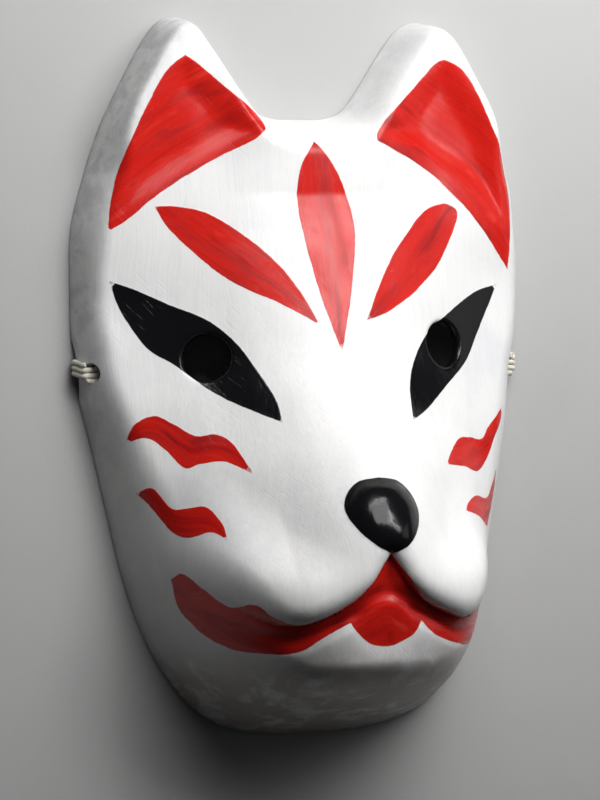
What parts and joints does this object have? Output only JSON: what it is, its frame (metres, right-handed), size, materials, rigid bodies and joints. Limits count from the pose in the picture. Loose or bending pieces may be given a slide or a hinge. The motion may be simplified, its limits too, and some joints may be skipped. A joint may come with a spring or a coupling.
{
  "type": "fox mask",
  "caption": "Papier-mache fox face mask with pointed ears, a long muzzle, round eye holes and an elastic head cord, hollow behind.",
  "frame": {"origin": "middle of the underside, the mask lying face up on its rim", "axes": "+X to the right as one faces the mask, +Y from chin to ears, +Z out of the face"},
  "size_m": [0.162, 0.24, 0.0762],
  "materials": {
    "painted_paper": "semi-gloss white lacquer on layered paper, with red and black painted markings",
    "elastic": "braided round elastic, matt cream white"
  },
  "bodies": {
    "root": {"mask_shell": "painted_paper", "elastic_winding_left": "elastic", "elastic_winding_right": "elastic", "elastic_cord": "elastic"}
  },
  "joints": []
}
